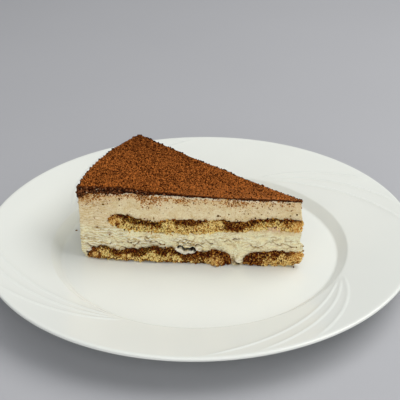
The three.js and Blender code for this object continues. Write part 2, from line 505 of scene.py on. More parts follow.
cutShape = {  # how the cuts and the layers stray from their solids, by the place along the front cut
    "tip": [  # height, and how far the point reaches
        (4.6, 0.2), (8.0, 1.5), (11.5, 1.0), (15.0, 0.9), (16.5, -0.6), (18.4, -0.9), (22.0, -0.2),
        (25.0, -0.2), (28.3, 0.4), (31.5, 0.2), (34.8, -0.4), (38.0, -0.7), (44.0, -0.7),
    ],
    "tipFade": 3.0,
    "back": [  # radius, and how far the back cut bows in
        (60, 0.0), (70, 0.8), (84, 2.2), (95, 2.3), (112, 2.7), (121, 1.3), (129, 0.7),
    ],
    "backFade": 9.0,
    # two edges that dip: where each runs, how far it drops, and how near to it the drop is felt
    "baseTop": [(106, 5.4), (108, 5.2), (113, 7.4), (119, 9.2), (124, 7.6), (126, 4.0)],
    "baseDip": [
        (108, 0.0), (111.7, 1.2), (113.2, 1.2), (114.6, 0.1), (118.2, 0.8), (120.7, 2.2), (124, 1.4),
        (127, 0.4),
    ],
    "baseNear": 5.0,
    "middleUnder": [(0, 24.4), (12, 24.2), (20, 25.6), (27, 24.8), (34, 21.6)],
    "middleDip": [(1, 0.3), (7, 1.2), (16, 1.3), (23, 1.8), (27, 1.3), (33, 0.0)],
    "middleNear": 4.5,
    "rimRamp": 8.0,
}


def fitOutline(spots, swell, start):  # the last warp, the same for every layer; the rim swells past start
    shape = cutShape
    along, depth, height = spots.T.copy()
    for edge, dip, near in (("baseTop", "baseDip", "baseNear"), ("middleUnder", "middleDip", "middleNear")):
        gap = np.abs(height - through(shape[edge], along))
        spots[:, 2] -= through(shape[dip], along) * ease(shape[near], 0.5, gap) * ease(12.0, 2.0, depth)
    reach = through(shape["tip"], spots[:, 2]) + 1.2
    spots[:, 0] -= reach * np.exp(-np.maximum(along - 1.5, 0.0) / shape["tipFade"])
    radius = np.maximum(radiusOf(spots), 1.0)
    spots[:, :2] *= (1.0 + swell * ease(start, start + shape["rimRamp"], radius) / radius)[:, None]
    angle = math.radians(wedge["angle"])
    bow = through(shape["back"], radius) * np.exp(-np.maximum(behindBackCut(spots), 0.0) / shape["backFade"])
    spots[:, 0] += bow * math.sin(angle)
    spots[:, 1] -= bow * math.cos(angle)


creamLook = {
    "voxel": (0.7, 0.65),  # lower cream, upper cream; the walls are split finer
    "overlap": 0.9,  # how far the cream reaches into the sponges, and into the cocoa
    "underCocoa": 0.5,
    "waves": 0.2,
    "ledgeRise": 2.5,  # one ledge of torn cream, from the next one up
    "ledgeDepth": 0.8,
    "crackDepth": 0.65,
    "crackWidth": 0.36,
    "wrinkleDepth": 0.35,
    "split": (24.0, 19.0),  # heights between which the upper cream turns into the lower
    "rimSmooth": (124.5, 127.5),  # radii between which the ring's wall has left it smooth
    "oneMass": (113.6, 115.0),  # radii past which no sponge parts the two creams
    "joint": (37.2, 3.6, 2.0),  # where cream wells out of the base's joint, how wide and how far
    "cracks": [  # how strong, and where they run: along the front cut, and height
        (0.6, [(112.6, 10.2), (110.8, 10.7), (108.9, 11.6), (107.8, 10.8), (106.6, 10.4), (105.1, 10.3)]),
        (0.9, [(101.8, 11.5), (100.9, 10.9), (99.7, 11.3), (99.1, 10.3), (98.1, 9.0),
               (97.0, 10.4), (95.8, 11.2), (94.9, 12.4), (94.0, 12.8)]),
        (1.0, [(91.8, 14.1), (90.4, 13.0)]),
        (1.3, [(89.2, 12.4), (88.0, 12.3), (86.8, 12.3), (85.6, 12.7), (84.5, 12.3)]),
        (1.0, [(83.6, 11.5), (82.4, 10.6), (80.1, 10.7)]),
        (0.5, [(76.1, 13.8), (74.7, 13.1)]),
        (0.6, [(74.1, 13.5), (72.9, 13.1), (71.7, 12.4)]),
        (0.8, [(61.9, 10.6), (60.6, 12.1), (59.4, 11.6), (57.9, 10.7)]),
        (0.5, [(57.9, 12.1), (56.1, 13.4)]),
        (0.4, [(59.9, 15.8), (58.4, 16.4), (56.1, 16.3)]),
        (0.9, [(55.6, 15.3), (54.4, 13.9), (53.2, 13.1), (51.7, 13.2)]),
        (0.4, [(53.5, 15.3), (51.4, 15.8), (49.4, 16.4)]),
        (0.5, [(47.9, 16.6), (45.3, 17.1)]),
        (0.7, [(44.7, 14.5), (43.8, 15.2), (42.4, 16.0), (40.6, 14.7)]),
        (0.9, [(39.8, 16.4), (38.6, 17.2), (37.4, 16.9), (35.7, 16.7)]),
        (0.6, [(29.3, 13.3), (27.8, 11.4), (26.4, 12.1), (24.9, 11.7), (23.5, 13.0), (21.8, 14.1),
               (20.1, 15.2), (18.3, 15.8), (17.5, 15.2), (16.6, 16.1), (15.2, 15.2)]),
        (0.4, [(27.3, 18.0), (25.3, 18.5), (23.0, 19.2), (21.9, 19.6)]),
        (0.6, [(17.8, 18.6), (16.4, 19.2), (15.0, 19.1)]),
        (0.5, [(16.4, 17.4), (14.9, 16.9), (13.2, 18.0)]),
        (0.7, [(14.9, 14.6), (12.8, 13.7), (11.7, 14.8), (10.3, 14.9),
               (8.5, 14.4), (7.9, 13.6), (6.8, 13.0), (5.0, 13.2)]),
        (0.5, [(11.4, 12.3), (9.6, 11.9), (7.9, 12.1)]),
        (0.5, [(9.7, 16.7), (7.4, 16.7), (5.2, 17.1)]),
        (1.2, [(126.3, 8.8), (123.8, 9.2), (121.7, 8.9), (119.9, 8.8), (119.0, 7.7)]),
        (0.5, [(127.5, 13.1), (125.6, 13.6), (124.2, 12.6)]),
        (0.5, [(118.3, 15.4), (116.0, 14.3), (113.0, 13.8), (110.6, 14.8)]),
        (0.4, [(126.6, 16.3), (123.0, 16.6), (120.7, 15.4)]),
    ],
    "stains": [  # of coffee: along, height, reach and strength
        (119.9, 20.4, 2.2, 1.0), (112.8, 16.6, 3.2, 0.6), (119.5, 35.5, 5.0, 0.35),
        (124.0, 38.5, 5.0, 0.5), (113.5, 37.0, 4.0, 0.35), (96.0, 36.5, 3.0, 0.3),
    ],
    "hole": [
        (71.9, 9.9), (71.4, 10.5), (70.6, 10.6), (69.7, 10.0), (69.0, 9.5), (68.1, 8.9), (66.5, 9.2),
        (64.8, 9.0), (63.9, 9.4), (63.3, 9.6), (62.5, 9.4), (61.6, 8.3), (60.2, 7.5),
    ],
    "holeHalf": [  # of the hole's height
        (60.0, 0.1), (62.0, 0.25), (63.5, 0.38), (66.0, 0.44), (68.3, 0.62), (69.3, 0.5), (70.0, 0.25),
        (72.0, 0.3),
    ],
    "holeDepth": 7.0,
    "folds": [  # how high, and where they run
        (1.7, [(72.6, 8.7), (71.3, 8.1), (69.8, 7.5), (68.3, 6.7), (66.6, 6.8),
               (65.5, 7.2), (64.5, 7.8), (63.5, 8.4), (62.1, 7.9)]),
        (1.5, [(125.0, 5.4), (123.6, 6.9), (121.7, 7.5), (119.8, 7.1), (118.3, 6.1)]),
        (0.9, [(60.9, 9.9), (60.5, 8.6), (59.9, 7.7), (59.2, 7.3)]),
    ],
    "foldHalf": [(61.0, 0.6), (66.0, 0.95), (68.5, 1.0), (70.0, 1.3), (73.0, 1.1), (119.0, 0.9)],
    "top": [  # of the cream along the front cut
        (0, 43.1), (35, 42.6), (60, 42.9), (80, 43.6), (90, 43.2), (100, 44.3), (110, 43.0), (120, 43.8),
        (128.7, 41.5),
    ],
    "lip": [  # of bright cream under the cocoa
        (0, 0.5), (12, 0.9), (60, 1.0), (88, 1.0), (91, 0.3), (97, 0.4), (101, 0.9), (113, 0.9), (120, 0.0),
    ],
    "smearReach": [  # how far below the cocoa the knife has dragged it, and how much of it
        (0, 3.0), (12, 3.0), (20, 4.0), (30, 3.4), (36, 2.8), (44, 3.2), (49, 2.6), (58, 2.2), (66, 3.0),
        (71, 2.6), (76, 2.4), (82, 3.4), (88, 4.6), (94, 3.4), (98, 1.8), (106, 2.2), (113, 2.0),
        (118, 3.6), (124, 3.4), (129, 2.4),
    ],
    "smearStrength": [
        (0, 0.2), (22, 0.3), (33, 0.8), (38, 1.0), (47, 0.9), (52, 0.5), (60, 0.5), (66, 1.0), (72, 0.8),
        (78, 0.8), (83, 1.3), (93, 1.3), (98, 0.6), (108, 0.6), (112, 0.8), (117, 1.05), (126, 0.95),
    ],
}


def refineCream(piece, lowerLayer):  # finer faces on the walls, and finer still along the cracks
    centres = toWedge(readCentres(piece))
    inside = np.minimum(behindBackCut(centres), wedge["radius"] - radiusOf(centres))
    refine(piece, np.minimum(centres[:, 1], inside) < 0.7)
    if lowerLayer:
        centres = toWedge(readCentres(piece))
        gaps = [distanceToLine(centres[:, 0], centres[:, 2], line) for _, line in creamLook["cracks"]]
        gaps.append(distanceToLine(centres[:, 0], centres[:, 2], creamLook["hole"]) - 0.3)
        refine(piece, (np.min(gaps, axis=0) < 0.8) & (centres[:, 1] < 1.2))


def tearCream(spots, low, rim):  # its ledges, the undercut below each as a mask for painted shade, and how torn it is
    look = creamLook
    lift = layeredNoise(spots, (9.0, 9.0, 5.0), 13, 3) * 3.6
    step = np.mod((spots[:, 2] + lift) / look["ledgeRise"], 1.0)
    torn = ease(-0.3, 0.35, layeredNoise(spots, (9.0, 9.0, 3.5), 14, 2))
    torn = torn * (0.12 + 0.88 * low) * (1.0 - 0.85 * rim)
    return (1.0 - step) ** 1.4 * torn * look["ledgeDepth"], ease(0.72, 0.97, step) * torn, torn


def crackCream(spots, front, jitter):  # how open each spot's crack is, and how much of a lip stands by it
    look = creamLook
    along = spots[:, 0] + (jitter + softNoise(spots, 3.0, 24) * 0.4)
    height = spots[:, 2] + jitter + 0.3 * softNoise(spots, 3.0, 25)
    crack = np.zeros(len(spots))
    lip = np.zeros(len(spots))
    for strength, line in look["cracks"]:
        gap = distanceToLine(along, height, line)
        crack = np.maximum(crack, strength * np.exp(-((gap / look["crackWidth"]) ** 2)))
        lip = np.maximum(lip, strength * np.exp(-(((gap - 0.85) / 0.4) ** 2)))
    broken = front * ease(-1.0, -0.1, softNoise(spots, 1.6, 27))
    return crack * broken, lip * broken


def wrinkleCream(spots, low, rim):
    bands = layeredNoise(spots, (4.5, 4.5, 1.9), 41, 3)
    wrinkle = ease(0.13, 0.02, np.abs(bands)) * ease(-0.3, 0.2, layeredNoise(spots, (5.0, 5.0, 3.0), 44, 2))
    above = (1.0 - low) * 0.35 * ease(100.0, 112.0, spots[:, 0])
    return wrinkle * ((low + above) * (1.0 - 0.85 * rim))


def sculptCream(piece, lowerLayer):
    look = creamLook
    refineCream(piece, lowerLayer)
    spots = toWedge(readPlaces(piece))
    turned = toWedgeTurn(readNormals(piece))
    along, depth, height = spots.T.copy()
    radius = radiusOf(spots)
    front = ease(3.0, 1.0, depth)
    level = np.abs(turned[:, 2])
    wall = 1.0 - ease(0.5, 0.9, level)
    low = ease(*look["split"], height)
    rim = ease(*look["rimSmooth"], radius) * ease(1.5, 5.0, depth)
    rough = 1.3 * ease(60.0, 68.0, along) * ease(110.0, 104.0, along) * ease(17.5, 14.5, height)
    rough = 1.0 + rough  # over the base's rise
    jitter = softNoise(spots, 1.1, 23) * 0.3
    ragged = softNoise(spots, 1.7, 28) * 0.6

    ledge, under, torn = tearCream(spots, low, rim)
    crack, lip = crackCream(spots, front, jitter)
    wrinkle = wrinkleCream(spots, low, rim) * rough
    waves = layeredNoise(spots, (11.0, 11.0, 6.0), 11, 2) * look["waves"]
    drags = softNoise(spots, (1.2, 1.2, 9.0), 15) * 0.08 * (1.0 - low)
    grain = layeredNoise(spots, 1.6, 16, 2) * 0.14 + softNoise(spots, 0.7, 17) * 0.07
    push = waves + ledge * rough + drags + grain + lip * 0.25
    push -= np.minimum(crack, 1.0) * look["crackDepth"] + wrinkle * look["wrinkleDepth"]
    # painted highlight on the raised lip beside each crack
    pale = lip * 0.3
    if lowerLayer:
        for rise, line in look["folds"]:
            gap = distanceToLine(along, height + ragged, line)
            half = through(look["foldHalf"], along)
            fold = front * ease(half + 0.5, half - 0.3, gap)
            pale = np.maximum(pale, fold)
            push += fold * (rise + 0.7 * softNoise(spots, 1.2, 29))
        place, width, swell = look["joint"]
        inJoint = np.exp(-(((along - place) / width) ** 2)) * ease(9.0, 3.0, height) * front
        lumps = layeredNoise(spots, 2.0, 30, 3)
        push += inJoint * (swell + lumps * 2.8)
        # painted highlight on the lumps' tops and painted shade in the hollows between them
        pale = np.maximum(pale, inJoint * 0.9 * ease(0.0, 0.5, lumps))
        crack = np.maximum(crack, inJoint * ease(0.0, -0.4, lumps))
    below = through(look["top"], along) - height
    lipHere = through(look["lip"], along) * ease(-0.7, 0.1, softNoise(spots, 2.2, 33)) * front
    brim = ease(1.8, 1.1, below) * lipHere * (1.0 - low)
    pale = np.maximum(pale, brim * 0.5)
    push += brim * 0.25
    spots[:, :2] += turned[:, :2] * (push * wall)[:, None]

    reach = look["overlap"] * (0.4 + 1.1 * ease(-0.5, 0.6, layeredNoise(spots, (1.7, 1.7, 6.0), 19, 2)))
    reach += ease(*look["oneMass"], radius) * 0.5
    if not lowerLayer:
        reach = np.where(turned[:, 2] > 0.0, look["underCocoa"], reach)
    spots[:, 2] += np.sign(turned[:, 2]) * ease(0.3, 0.8, level) * reach
    dark = np.zeros(len(spots))
    if lowerLayer:
        spots[:, 2] = np.maximum(spots[:, 2], -0.25)
        hole = distanceToLine(along, height + 0.45 * ragged, look["hole"]) - through(look["holeHalf"], along)
        spots[:, 1] += front * ease(0.2, -0.15, hole) * look["holeDepth"]
        # the hole's inside is painted dark as its shade
        dark = front * ease(0.45, 0.15, hole)
    fitOutline(spots, 1.3 - 1.9 * ease(4.5, 0.5, height), 120.5)
    writePlaces(piece, fromWedge(spots))

    sides = (ease(104.0, 118.0, along) + 0.12 * ease(26.0, 8.0, along)) * (1.0 - 0.5 * rim)
    haze = np.exp(-np.maximum(below - 1.0, 0.0) / 3.2) * (1.0 - low)
    strata = ease(-0.4, 0.4, layeredNoise(spots, (9.0, 9.0, 5.0), 37, 2))
    writeMarks(
        piece,
        smear=smearOn(spots, along, below, lipHere),
        haze=np.clip(haze * 0.4 + sides * 0.08 * (1.0 - low), 0.0, 1.0),
        strata=np.clip(sides * (0.3 + 0.7 * ease(24.0, 34.0, height)) * strata, 0.0, 1.0),
        bleed=coffeeOn(spots, along, height, front),
        # the crack mark is painted shade in the cracks, the wrinkles and the crease under each ledge
        crack=np.clip(crack * 0.95 + wrinkle * 0.42 + under * 0.28 * low, 0.0, 1.0),
        torn=np.clip(torn * low * rough + 0.5 * sides * (1.0 - rim), 0.0, 1.6),
        pale=np.clip(pale, 0.0, 1.0),
        dark=dark,
        lower=low,
    )


def smearOn(spots, along, below, lipHere):  # cocoa in the cream, below its own edge
    fade = np.exp(-((np.maximum(below - 1.5, 0.0) / through(creamLook["smearReach"], along)) ** 1.4))
    fade *= ease(0.9 * lipHere, 0.9 * lipHere + 0.8, below)
    streaks = ease(-0.35, 0.4, layeredNoise(spots, (1.1, 1.1, 1.6), 31, 3))
    blots = ease(-0.6, 0.2, softNoise(spots, (5.0, 5.0, 6.0), 34))
    strength = through(creamLook["smearStrength"], along)
    return fade * (0.15 + 0.85 * streaks) * (0.4 + 0.6 * blots) * strength


def coffeeOn(spots, along, height, front):  # coffee in the cream, beside soaked sponge and in stains
    bleed = coffeeNear(fromWedge(spots))
    for place, rise, reach, strength in creamLook["stains"]:
        gap = np.hypot(along - place, (height - rise) * 1.6)
        bleed = np.maximum(bleed, strength * ease(reach, 0.2 * reach, gap) * front)
    return bleed * ease(-0.5, 0.5, layeredNoise(spots, 1.4, 39, 2))


def coffeeNear(places):  # from 0 to 1, how much soaked sponge each spot touches
    strength = np.zeros(len(places))
    for sponge in sponges:
        polygons = sponge.data.polygons
        tree = BVHTree.FromPolygons([v.co for v in sponge.data.vertices], [p.vertices for p in polygons])
        soak = readMark(sponge, "soak")
        for i, place in enumerate(places * mm):
            _, _, face, gap = tree.find_nearest(Vector(place), 1.6 * mm)
            if face is not None:
                strength[i] = max(strength[i], soak[polygons[face].vertices[0]] * math.exp(-gap / (0.6 * mm)))
    return strength


def toWedgeTurn(normals):  # normals turned into the wedge's own directions
    heading = math.radians(wedge["heading"])
    along = normals[:, 0] * math.cos(heading) + normals[:, 1] * math.sin(heading)
    depth = normals[:, 0] * math.sin(heading) - normals[:, 1] * math.cos(heading)
    return np.stack([along, depth, normals[:, 2]], axis=1)


spongeLook = {
    "voxel": 0.4,
    "proud": 0.2,
    "crumbs": 0.55,
    "pores": 1.0,
    "caves": 1.1,
    "ragged": 1.0,  # of the upper edge, the frill of both and the undercut at the plate
    "frill": 1.5,
    "undercut": 0.9,
    "tipLift": [(-2.0, 4.6), (0.5, 3.4), (4.0, 1.8), (8.0, 0.7), (12.0, 0.0)],  # the point's underside is up
    "foot": [  # how far the base's foot stands out, along the front cut
        (36, 0.0), (42, -0.8), (45, -1.0), (49, 0.0), (54, -0.8), (58, -0.9), (64, 0.0), (72, 0.7),
        (80, 1.2), (90, 1.5), (112, 1.7), (124, 1.2),
    ],
    "bulge": (48.6, 4.2, 3.2),  # where the finger's end swells, how wide and how far
}

# how deep the coffee has soaked in from above, along the front cut
middleSoak = [
    (0, 2.2), (7, 3.0), (10, 3.2), (12, 2.2), (20, 2.6), (24, 2.8), (31, 3.6), (34, 5.6), (37, 6.4),
    (43, 7.0), (45, 3.0), (46.6, 1.2), (51, 2.0), (53, 0.0), (56, 1.0), (58, 3.8), (62, 4.2), (68, 4.5),
    (73, 3.8), (75, 0.7), (81, 0.5), (82.5, 4.3), (88, 4.0), (93, 3.6), (97, 4.0), (103, 4.3), (107, 2.4),
    (111, 1.0),
]
baseSoak = [
    (0, 2.2), (8, 3.2), (12, 2.4), (15, 5.6), (17, 4.6), (20, 3.0), (22, 5.5), (23.5, 9.5), (34, 9.5),
    (41, 9.5), (46, 9.0), (47.4, 5.0), (50, 4.4), (53, 3.6), (55.5, 2.8), (57, 5.2), (64, 5.4),
    (67.5, 4.6), (69.5, 2.6), (73, 2.0), (77.5, 2.2), (79, 4.6), (82.5, 4.4), (84.5, 2.6), (91, 2.8),
    (96, 3.2), (99, 2.6), (107, 2.8), (110, 2.8), (112, 1.7), (118, 1.2), (119.5, 3.0), (125, 4.0),
]
# how yellow the crumb is, along the front cut
middleOlive = [
    (0, 0.1), (10, 0.2), (14, 0.8), (26, 0.8), (32, 0.2), (50, 0.5), (62, 0.3), (76, 0.6), (84, 0.9),
    (104, 1.0), (108, 0.1),
]
baseOlive = [
    (0, 0.2), (46, 0.1), (66, 0.2), (72, 0.8), (80, 0.7), (92, 0.9), (100, 0.3), (110, 0.6), (112, 1.0),
    (118, 0.9), (120, 0.0),
]
# each piece's noise seed and toasted ends: along, height, reach, how dark its ring is, and its dots
spongeLayers = {
    "sponge_base_outer": {
        "piece": "baseSponge", "soak": baseSoak, "olive": baseOlive, "seed": 101,
        "ends": [(121.6, 3.2, 4.6, 0.9, 1.0), (50.0, 2.4, 5.5, 0.3, 1.0)],
    },
    "sponge_base_tip": {
        "piece": "baseSpongeTip", "soak": baseSoak, "olive": baseOlive, "seed": 131,
        "ends": [(1, 6.5, 9.0, 0.0, 0.5)],
    },
    "sponge_middle": {
        "piece": "middleSponge", "soak": middleSoak, "olive": middleOlive, "seed": 161,
        "ends": [(110, 25.0, 7.0, 0.0, 1.3), (0.5, 26.0, 8.0, 0.0, 0.0)],
    },
}


def sculptSponge(piece, node, layer):
    look = spongeLook
    seed = layer["seed"]
    spots = toWedge(readPlaces(piece))
    turned = toWedgeTurn(readNormals(piece))
    along, depth, height = spots.T.copy()
    top, bottom = heightsOf(node, spots)
    share = np.clip((height - bottom) / np.maximum(top - bottom, 0.5), 0.0, 1.0)
    onPlate = node != "sponge_middle"

    bumps, _ = cellNoise(spots, 1.15, seed)
    holes, holeNumber = cellNoise(spots, 2.2, seed + 5)
    pore = ease(0.45, 0.2, holes) * (holeNumber > 0.4)
    caves, caveNumber = cellNoise(spots, (5.5, 5.5, 3.4), seed + 7)
    cave = ease(0.38, 0.12, caves) * (caveNumber > 0.62)
    fine = layeredNoise(spots, 0.9, seed + 9, 2)
    push = look["proud"] + (0.45 - bumps) * look["crumbs"] + fine * 0.25
    push -= pore * look["pores"] + cave * look["caves"]
    spots += turned * push[:, None]
    ragged = layeredNoise(spots, (3.0, 3.0, 8.0), seed + 12, 3) * look["ragged"]
    spots[:, 2] += ragged * ease(0.4, 1.0, share)
    frill = layeredNoise(spots, (1.8, 1.8, 8.0), seed + 13, 2) * look["frill"]
    spots[:, 2] += frill * ease(0.25, 0.5, np.abs(share - 0.5))
    if onPlate:
        wall = 1.0 - ease(0.5, 0.9, np.abs(turned[:, 2]))
        foot = ease(5.0, 0.0, height) * wall
        place, width, swell = look["bulge"]
        stands = swell * np.exp(-(((along - place) / width) ** 2)) + through(look["foot"], along)
        sway = layeredNoise(spots, (6.0, 6.0, 20.0), seed + 14, 3) * 1.1 + stands * ease(6.0, 2.0, depth)
        under = look["undercut"] * ease(1.3, 0.1, height) * wall * ease(53.0, 58.0, along)
        spots[:, :2] += turned[:, :2] * (foot * sway - under)[:, None]
        spots[:, 2] += through(look["tipLift"], along) * ease(8.0, 0.0, height)
        spots[:, 2] = np.maximum(spots[:, 2], -0.2)
    fitOutline(spots, -0.2 if onPlate else -0.4, 103.0)
    writePlaces(piece, fromWedge(spots))

    behind = ease(3.0, 14.0, depth)
    soaked = through(layer["soak"], along) * (1.0 - behind)
    soaked += behind * (3.0 + 2.6 * softNoise(spots, (9.0, 9.0, 30.0), seed + 15))
    frayed = layeredNoise(spots, 2.6, seed + 17, 3) * 2.0 + softNoise(spots, 0.8, seed + 18) * 0.8
    soakDepth = top - height
    soak = ease(-1.5, 1.7, soaked + frayed - soakDepth)
    lid = ease(-0.1, 0.6, softNoise(spots, (4.0, 4.0, 20.0), seed + 20))
    soak = np.maximum(soak, 0.7 * lid * ease(1.0, 0.0, soakDepth))
    if onPlate:
        # the colour is darkened in the lowest 2.6 mm of the foot, just above the plate
        darkerFoot = np.maximum(ease(54.0, 58.0, along), 0.8 * ease(31.0, 27.0, along) * ease(16.0, 20.0, along))
        soak = np.maximum(soak, 0.85 * ease(2.6, 0.8, height) * ease(-1.0, 0.4, frayed) * darkerFoot)
        soak = 0.07 + (0.8 + 0.17 * ease(3.2, 1.2, soakDepth)) * soak
    crust = np.zeros(len(spots))
    burnt = np.zeros(len(spots))
    for place, rise, reach, ring, dots in layer["ends"]:
        gap = np.hypot(along - place, (height - rise) * 1.2)
        near = ease(reach, 0.3 * reach, gap)
        crust = np.maximum(crust, near * (1.0 - 0.35 * dots))
        burnt = np.maximum(burnt, ring * np.exp(-(((gap - 0.6 * reach) / 1.1) ** 2)))
        burnt = np.maximum(burnt, dots * near * ease(0.0, 0.45, layeredNoise(spots, 1.7, seed + 21, 2)))
    writeMarks(
        piece,
        soak=np.maximum(soak * (1.0 - 0.75 * crust), 0.8 * burnt),
        crust=crust,
        burnt=np.clip(burnt, 0.0, 1.0),
        olive=through(layer["olive"], along),
        # the pore mark is painted shade in the pores, the caves and the hollows between crumbs
        pore=np.clip(pore + cave + 0.5 * ease(0.55, 0.85, bumps), 0.0, 1.0),
    )


cocoaLook = {
    "voxel": 0.42,
    "powder": 0.34,
    "ragged": 0.8,  # of the lower edge, and how much more at the thick end
    "raggedThick": 1.0,
    "hang": [  # of the lower edge
        (0, -0.6), (34, -0.5), (40, 0.0), (56, 0.0), (64, -0.4), (80, -0.2), (95, -0.4), (105, -1.0),
        (115, -1.7), (129, -2.1),
    ],
    "rimStands": 0.8,  # how far the rim swells past the wedge's own
}


def sculptCocoa(piece):
    look = cocoaLook
    spots = toWedge(readPlaces(piece))
    turned = toWedgeTurn(readNormals(piece))
    along, depth, height = spots.T.copy()
    top, bottom = heightsOf("cocoa_top", spots)
    share = np.clip((height - bottom) / np.maximum(top - bottom, 0.4), 0.0, 1.0)
    wall = 1.0 - ease(0.5, 0.9, np.abs(turned[:, 2]))

    bumps, _ = cellNoise(spots, 1.1, 61)
    powder = (0.45 - bumps) * look["powder"] + layeredNoise(spots, 0.9, 62, 2) * 0.16
    rolling = layeredNoise(spots, (14.0, 14.0, 40.0), 64, 2) * 0.35
    clods = layeredNoise(spots, 2.4, 65, 2) * 0.35 * wall * ease(124.0, 120.0, radiusOf(spots))
    spots += turned * (powder + 0.15 * wall + clods)[:, None]
    spots[:, 2] += rolling * ease(0.5, 1.0, share)
    thick = ease(72.0, 96.0, radiusOf(spots))
    drip = layeredNoise(spots, (3.2, 3.2, 30.0), 66, 3) * (look["ragged"] + look["raggedThick"] * thick)
    spots[:, 2] += (drip + through(look["hang"], radiusOf(spots))) * ease(0.5, 0.0, share)
    damp = np.maximum(wall * ease(0.1, 0.45, top - height), ease(0.9, 1.6, top - height))
    tongues = 2.2 * ease(99.0, 112.0, along) * ease(-0.3, 0.6, softNoise(spots, 2.4, 68))
    edge = 0.5 + softNoise(spots, 1.6, 67) * 0.6 + tongues
    damp = np.maximum(damp, 0.85 * ease(edge + 0.5, edge - 0.2, depth))
    dusty = ease(92.0, 30.0, along) * (ease(22.0, 3.0, depth) + 0.8 * ease(3.4, 1.6, depth))
    fitOutline(spots, look["rimStands"] + 0.5 * (1.0 - share), 116.0)
    writePlaces(piece, fromWedge(spots))
    writeMarks(piece, damp=damp, dusty=dusty, shaded=ease(28.0, 62.0, depth))


def dress(piece, material, slot, *nodes):
    piece.data.materials.clear()
    piece.data.materials.append(material)
    smooth(piece)
    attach(piece, "root")
    if nodes:
        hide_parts(*nodes)


spongeMaterial = spongeFinish()
creamMaterial = creamFinish()
cocoaMaterial = cocoaFinish()

sponges = []
for node, layer in spongeLayers.items():
    sponge = layerFrom(node, layer["piece"], spongeLook["voxel"])
    sculptSponge(sponge, node, layer)
    dress(sponge, spongeMaterial, "soaked_sponge", node)
    sponges.append(sponge)
    print(layer["piece"], "made,", len(sponge.data.polygons), "faces")

creams = []
for node, name, lowerLayer in (("cream_lower", "lowerCream", True), ("cream_upper", "upperCream", False)):
    cream = layerFrom(node, name, creamLook["voxel"][0 if lowerLayer else 1])
    sculptCream(cream, lowerLayer)
    dress(cream, creamMaterial, "cream", node)
    print(name, "made,", len(cream.data.polygons), "faces")
    creams.append(cream)
lowerCream, upperCream = creams

cocoa = layerFrom("cocoa_top", "cocoaTop", cocoaLook["voxel"])
sculptCocoa(cocoa)
dress(cocoa, cocoaMaterial, "cocoa", "cocoa_top")
print("cocoaTop made,", len(cocoa.data.polygons), "faces")


# small things that lie on the layers, each kind one mesh

def pickSpots(piece, count, chance, seed):  # random spots on a mesh, by area and a chance for each face
    mesh = piece.data
    mesh.calc_loop_triangles()
    corners = np.empty(len(mesh.loop_triangles) * 3, np.int32)
    mesh.loop_triangles.foreach_get("vertices", corners)
    corners = corners.reshape(-1, 3)
    faces = readPlaces(piece)[corners]
    normals = np.cross(faces[:, 1] - faces[:, 0], faces[:, 2] - faces[:, 0])
    area = np.linalg.norm(normals, axis=1)
    normals /= np.maximum(area, 1e-9)[:, None]
    weight = area * chance(toWedge(faces.mean(axis=1)), toWedgeTurn(normals))
    dice = np.random.default_rng(seed)
    chosen = dice.choice(len(faces), count, p=weight / weight.sum())
    share = dice.random((count, 2))
    flip = share.sum(axis=1) > 1.0
    share[flip] = 1.0 - share[flip]
    first, second, third = faces[chosen].transpose(1, 0, 2)
    spots = first + share[:, :1] * (second - first) + share[:, 1:] * (third - first)
    return spots, normals[chosen], corners[chosen, 0]


def scatter(name, look, spots, tones):  # one lumpy grain for each spot
    bpy.ops.mesh.primitive_ico_sphere_add(subdivisions=1, radius=0.5)
    pattern = bpy.context.active_object
    shape = np.array([v.co[:] for v in pattern.data.vertices])
    faces = np.array([p.vertices[:] for p in pattern.data.polygons])
    bpy.data.objects.remove(pattern)

    dice = np.random.default_rng(look["seed"])
    count = len(spots)
    lumps = shape[None] * dice.uniform(0.72, 1.28, (count, len(shape), 1))
    lumps *= dice.uniform(0.7, 1.3, (count, 1, 3)) * sizesOf(look, count)[:, None, None]
    turns = dice.normal(size=(count, 4))
    w, x, y, z = (turns / np.linalg.norm(turns, axis=1, keepdims=True)).T
    spin = np.stack([
        1 - 2 * (y * y + z * z), 2 * (x * y - w * z), 2 * (x * z + w * y),
        2 * (x * y + w * z), 1 - 2 * (x * x + z * z), 2 * (y * z - w * x),
        2 * (x * z - w * y), 2 * (y * z + w * x), 1 - 2 * (x * x + y * y),
    ], axis=1).reshape(-1, 3, 3)
    lumps = np.einsum("nij,nkj->nki", spin, lumps)
    places = (lumps + spots[:, None]).reshape(-1, 3)
    corners = (faces[None] + np.arange(count)[:, None, None] * len(shape)).reshape(-1, 3)

    mesh = bpy.data.meshes.new(name)
    mesh.from_pydata((places * mm).tolist(), [], corners.tolist())
    piece = bpy.data.objects.new(name, mesh)
    bpy.context.scene.collection.objects.link(piece)
    writeMarks(piece, tone=np.repeat(tones, len(shape)))
    print(name, "made,", count, "grains")
    return piece


def sizesOf(look, count):  # many small ones and few large ones
    dice = np.random.default_rng(look["seed"] + 500)
    return look["smallest"] + (look["largest"] - look["smallest"]) * dice.random(count) ** 2.2


def tonesOf(look, count, low=0.0, high=1.0):
    return np.random.default_rng(look["seed"] + 900).uniform(low, high, count)


def sitOn(look, spots, normals, share):  # moved out of the surface by a share of their own size
    return spots + normals * (sizesOf(look, len(spots)) * share)[:, None]


powderMaterial = grainFinish("cocoaGrains", linear(52, 15, 0), linear(206, 124, 56), 0.95, 0.05)
clumpMaterial = grainFinish("dampCocoa", linear(18, 3, 0), linear(152, 94, 56), 0.65, 0.08)
dustMaterial = grainFinish("cocoaDust", linear(118, 64, 4), linear(198, 126, 46), 0.9, 0.05)
speckMaterial = grainFinish("cocoaSpeck", linear(84, 56, 0), linear(146, 104, 16), 0.8, 0.0)
bitMaterial = grainFinish("creamBits", linear(142, 98, 68), linear(240, 210, 172), 0.6, 0.2)


